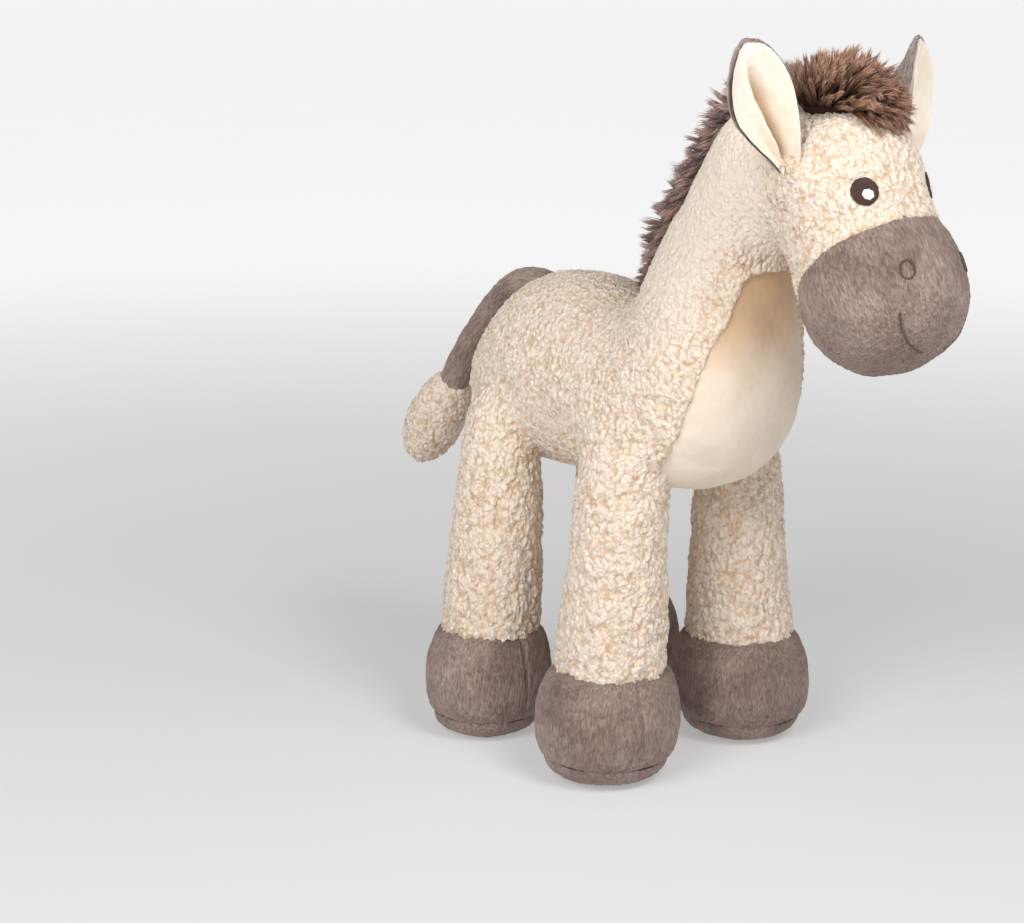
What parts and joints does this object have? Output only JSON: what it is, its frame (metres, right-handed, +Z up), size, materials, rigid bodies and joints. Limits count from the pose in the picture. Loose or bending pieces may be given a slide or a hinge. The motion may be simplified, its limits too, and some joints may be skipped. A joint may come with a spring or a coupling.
{
  "type": "plush horse",
  "caption": "Standing stuffed horse in curly pile with a long-pile mane, smooth belly, domed hooves, folding ears and a tufted tail.",
  "frame": {"origin": "on the floor under the middle of the box round the horse", "axes": "+X towards the nose, +Y towards the horse's left side, +Z up"},
  "size_m": [0.3905, 0.1744, 0.3854],
  "materials": {
    "cream_sherpa": "curly long-loop sherpa pile, matt",
    "cream_velour": "short smooth velour, soft sheen",
    "cream_short_pile": "short plush pile, matt",
    "taupe_minky": "short minky pile, soft sheen",
    "brown_long_pile": "long shaggy pile, matt",
    "brown_thread": "satin-stitch embroidery thread",
    "white_thread": "satin-stitch embroidery thread",
    "fibre_fill": "loose polyester fibre stuffing"
  },
  "bodies": {
    "torso": {"body_cover": "cream_sherpa", "belly_gusset": "cream_velour", "body_stuffing": "fibre_fill", "mane": "brown_long_pile"},
    "head": {"head_cover": "cream_sherpa", "muzzle_cover": "taupe_minky", "head_stuffing": "fibre_fill", "forelock": "brown_long_pile", "eye_right": "brown_thread", "eye_left": "brown_thread", "eye_highlight_right": "white_thread", "eye_highlight_left": "white_thread", "nostril_right": "brown_thread", "nostril_left": "brown_thread", "mouth": "brown_thread"},
    "tail": {"tail_cover": "taupe_minky", "tail_stuffing": "fibre_fill"},
    "tail_tuft": {"tuft_cover": "cream_sherpa", "tuft_stuffing": "fibre_fill"},
    "ear_right": {"ear_outer_right": "taupe_minky", "ear_inner_right": "cream_short_pile"},
    "ear_left": {"ear_outer_left": "taupe_minky", "ear_inner_left": "cream_short_pile"},
    "leg_front_right": {"leg_sleeve_front_right": "cream_sherpa", "hoof_upper_front_right": "taupe_minky", "hoof_sole_front_right": "taupe_minky", "leg_stuffing_front_right": "fibre_fill"},
    "leg_front_left": {"leg_sleeve_front_left": "cream_sherpa", "hoof_upper_front_left": "taupe_minky", "hoof_sole_front_left": "taupe_minky", "leg_stuffing_front_left": "fibre_fill"},
    "leg_rear_right": {"leg_sleeve_rear_right": "cream_sherpa", "hoof_upper_rear_right": "taupe_minky", "hoof_sole_rear_right": "taupe_minky", "leg_stuffing_rear_right": "fibre_fill"},
    "leg_rear_left": {"leg_sleeve_rear_left": "cream_sherpa", "hoof_upper_rear_left": "taupe_minky", "hoof_sole_rear_left": "taupe_minky", "leg_stuffing_rear_left": "fibre_fill"}
  },
  "joints": [
    {"name": "head_nod", "type": "hinge", "parent": "torso", "child": "head", "pos_m": [0.0902, 0, 0.321], "axis": [0, 1, 0], "range_deg": [-12, 12], "stiffness_Nm_per_rad": 4},
    {"name": "tail_lift", "type": "hinge", "parent": "torso", "child": "tail", "pos_m": [-0.0778, 0, 0.243], "axis": [0, 1, 0], "range_deg": [0, 60]},
    {"name": "tuft_flex", "type": "hinge", "parent": "tail", "child": "tail_tuft", "pos_m": [-0.1588, 0, 0.173], "axis": [0, 1, 0], "range_deg": [-25, 25], "stiffness_Nm_per_rad": 0.08},
    {"name": "ear_fold_right", "type": "hinge", "parent": "head", "child": "ear_right", "pos_m": [0.1212, -0.0335, 0.325], "axis": [0.2496, 0.8704, 0.4245], "range_deg": [-10, 30], "stiffness_Nm_per_rad": 0.1},
    {"name": "ear_fold_left", "type": "hinge", "parent": "head", "child": "ear_left", "pos_m": [0.1212, 0.0335, 0.325], "axis": [-0.2496, 0.8704, -0.4245], "range_deg": [-10, 30], "stiffness_Nm_per_rad": 0.1},
    {"name": "leg_swing_front_right", "type": "hinge", "parent": "torso", "child": "leg_front_right", "pos_m": [0.0262, -0.043, 0.166], "axis": [0, 1, 0], "range_deg": [-12, 8], "stiffness_Nm_per_rad": 6},
    {"name": "leg_swing_front_left", "type": "hinge", "parent": "torso", "child": "leg_front_left", "pos_m": [0.0262, 0.043, 0.166], "axis": [0, 1, 0], "range_deg": [-12, 8], "stiffness_Nm_per_rad": 6},
    {"name": "leg_swing_rear_right", "type": "hinge", "parent": "torso", "child": "leg_rear_right", "pos_m": [-0.0678, -0.043, 0.166], "axis": [0, 1, 0], "range_deg": [-8, 12], "stiffness_Nm_per_rad": 6},
    {"name": "leg_swing_rear_left", "type": "hinge", "parent": "torso", "child": "leg_rear_left", "pos_m": [-0.0678, 0.043, 0.166], "axis": [0, 1, 0], "range_deg": [-8, 12], "stiffness_Nm_per_rad": 6}
  ]
}
